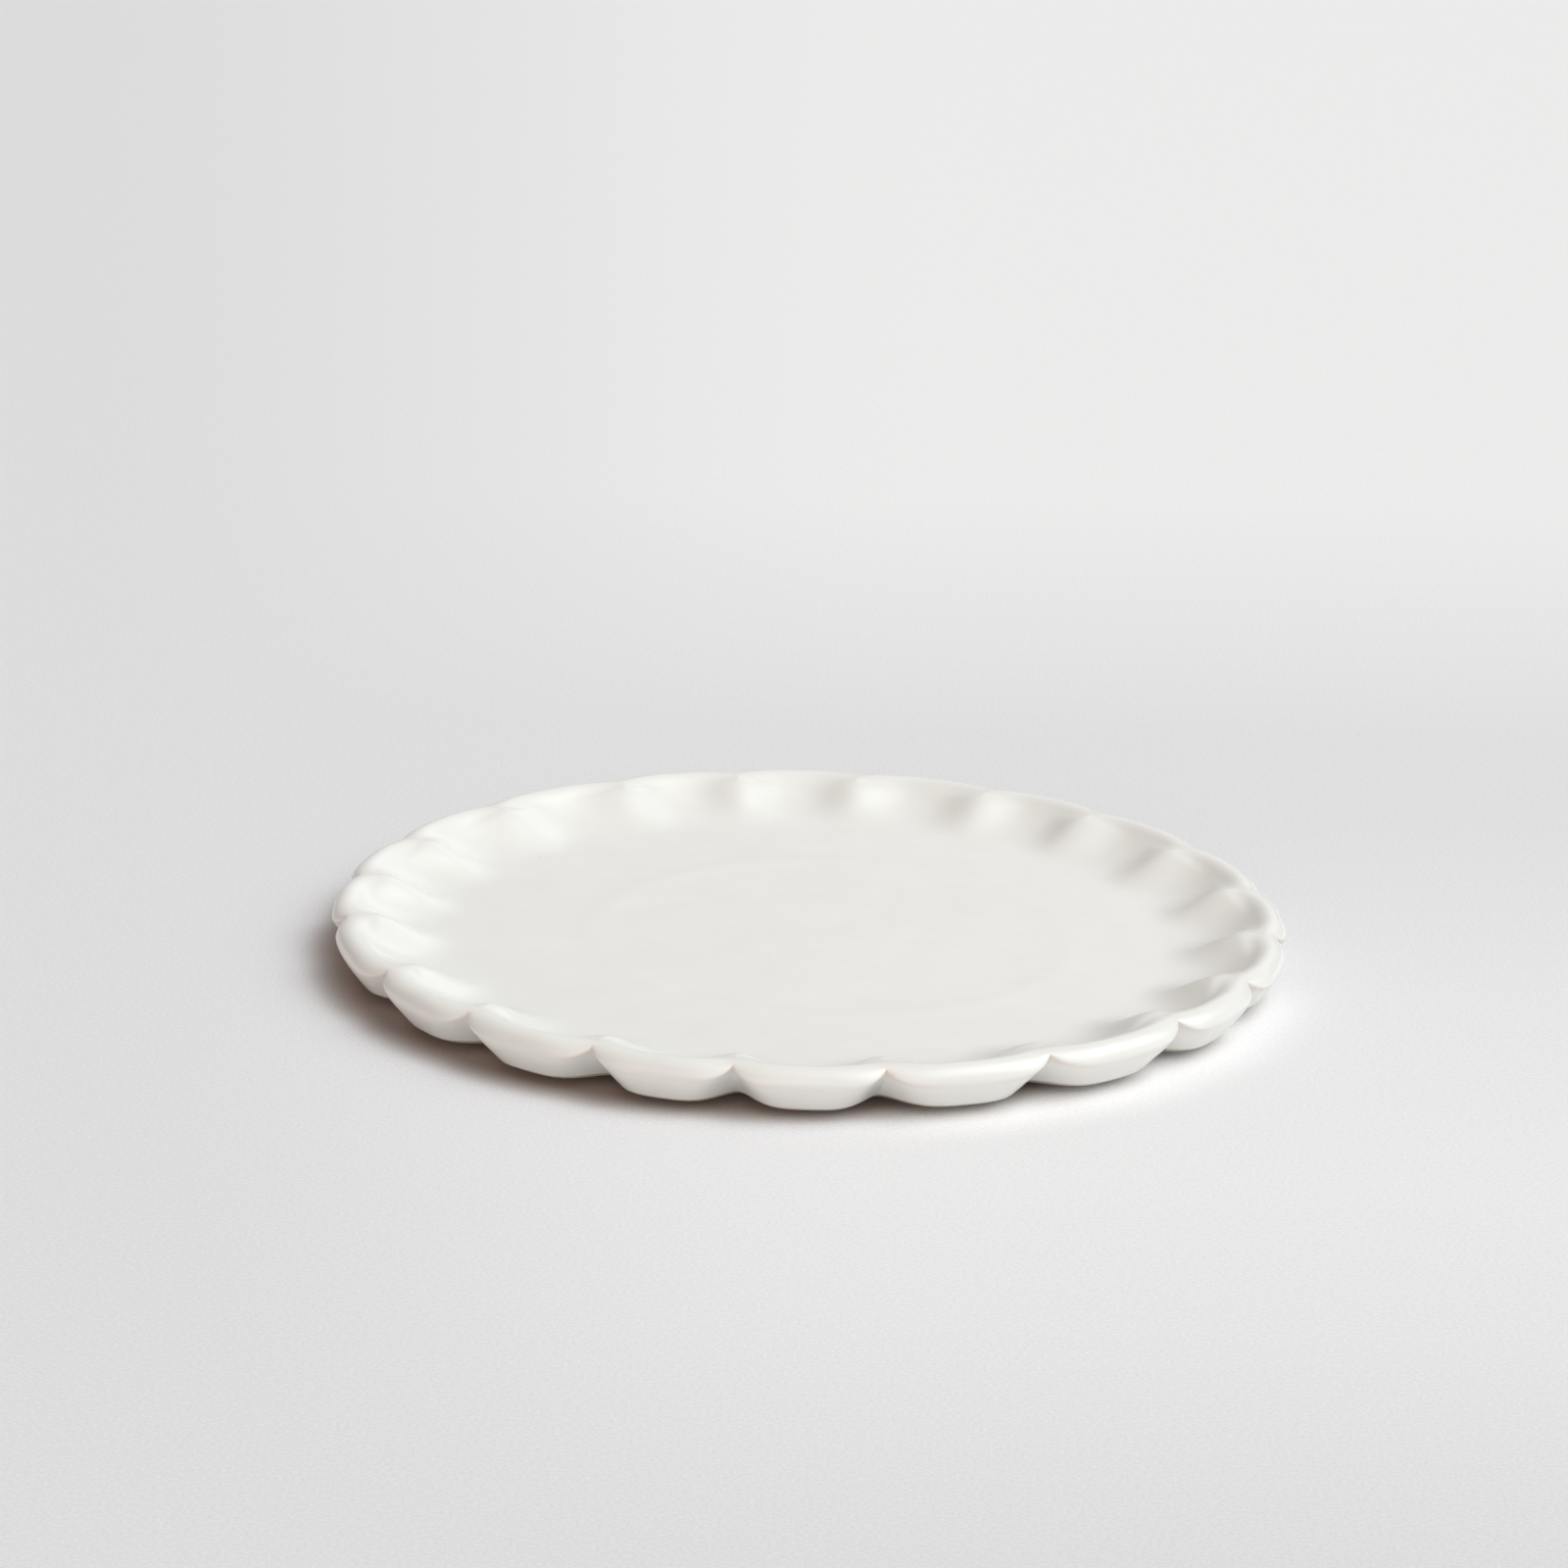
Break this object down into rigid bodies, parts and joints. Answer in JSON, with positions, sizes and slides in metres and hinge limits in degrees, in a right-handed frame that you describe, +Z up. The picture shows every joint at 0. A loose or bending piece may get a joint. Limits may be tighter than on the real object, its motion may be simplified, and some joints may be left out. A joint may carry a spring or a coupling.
{
  "type": "scalloped dessert plate",
  "caption": "Low round dessert plate in glazed stoneware, with a flat well, hand-pressed flutes, a rolled scalloped lip and a bare foot ring.",
  "frame": {"origin": "centre of the resting plane, under the middle of the plate", "axes": "+Z up out of the well, +X to the right and +Y away from the camera as pictured"},
  "size_m": [0.2, 0.2, 0.011],
  "materials": {
    "bare_clay": "fired, unglazed, fine grained",
    "white_glaze": "satin warm white glaze"
  },
  "bodies": {
    "root": {"clay_body": "bare_clay", "foot_ring": "bare_clay", "face_glaze": "white_glaze", "underside_glaze": "white_glaze", "base_glaze": "white_glaze"}
  },
  "joints": []
}
